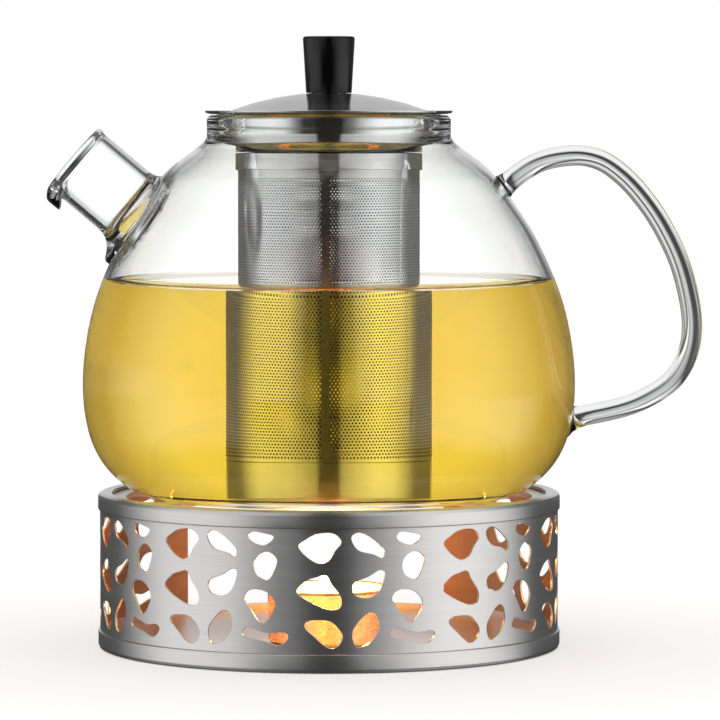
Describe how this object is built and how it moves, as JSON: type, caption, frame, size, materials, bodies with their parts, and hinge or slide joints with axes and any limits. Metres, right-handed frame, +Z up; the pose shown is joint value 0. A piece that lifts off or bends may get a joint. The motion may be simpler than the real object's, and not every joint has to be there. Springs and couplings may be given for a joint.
{
  "type": "glass teapot on tealight warmer",
  "caption": "Round blown-glass teapot with rod handle, tube spout, steel strainer insert and domed lid with a black knob, standing on a perforated steel tealight warmer.",
  "frame": {"origin": "on the warmer's axis at its flat underside, where the set rests on a table", "axes": "+Z up along the pot's axis, +X towards the handle, -X towards the spout, +Y to the warmer's open back"},
  "size_m": [0.2068, 0.1556, 0.1925],
  "materials": {
    "clear_glass": "clear blown borosilicate glass",
    "brushed_steel": "brushed round the axis",
    "satin_steel": "satin",
    "black_plastic": "polished black",
    "tealight_foil": "thin drawn foil",
    "candle_wax": "candle wax",
    "wick_cotton": "charred cotton",
    "wick_tin": "tinned sheet"
  },
  "bodies": {
    "warmer": {"warmer_foot_ring": "brushed_steel", "warmer_base_plate": "brushed_steel", "warmer_band": "brushed_steel", "warmer_top_ring": "brushed_steel", "pot_support": "brushed_steel"},
    "tealight": {"tealight_cup": "tealight_foil", "tealight_wax": "candle_wax", "tealight_wick": "wick_cotton", "tealight_wick_tab": "wick_tin"},
    "pot": {"glass_body": "clear_glass", "glass_rim": "clear_glass", "spout": "clear_glass", "handle": "clear_glass"},
    "infuser": {"infuser_rim": "brushed_steel", "infuser_collar": "brushed_steel", "infuser_sleeve": "brushed_steel", "infuser_base_cup": "brushed_steel"},
    "lid": {"lid_dome": "satin_steel", "lid_locating_ring": "satin_steel", "knob": "black_plastic", "knob_washer": "brushed_steel", "knob_screw": "brushed_steel"}
  },
  "joints": [
    {"name": "pot_lift", "type": "slide", "parent": "warmer", "child": "pot", "axis": [0, 0, 1], "range_m": [0, 0.08]},
    {"name": "infuser_lift", "type": "slide", "parent": "pot", "child": "infuser", "axis": [0, 0, 1], "range_m": [0, 0.12]},
    {"name": "lid_lift", "type": "slide", "parent": "infuser", "child": "lid", "axis": [0, 0, 1], "range_m": [0, 0.03]},
    {"name": "tealight_slide", "type": "slide", "parent": "warmer", "child": "tealight", "axis": [0, 0.9945, 0.1045], "range_m": [0, 0.11]}
  ]
}
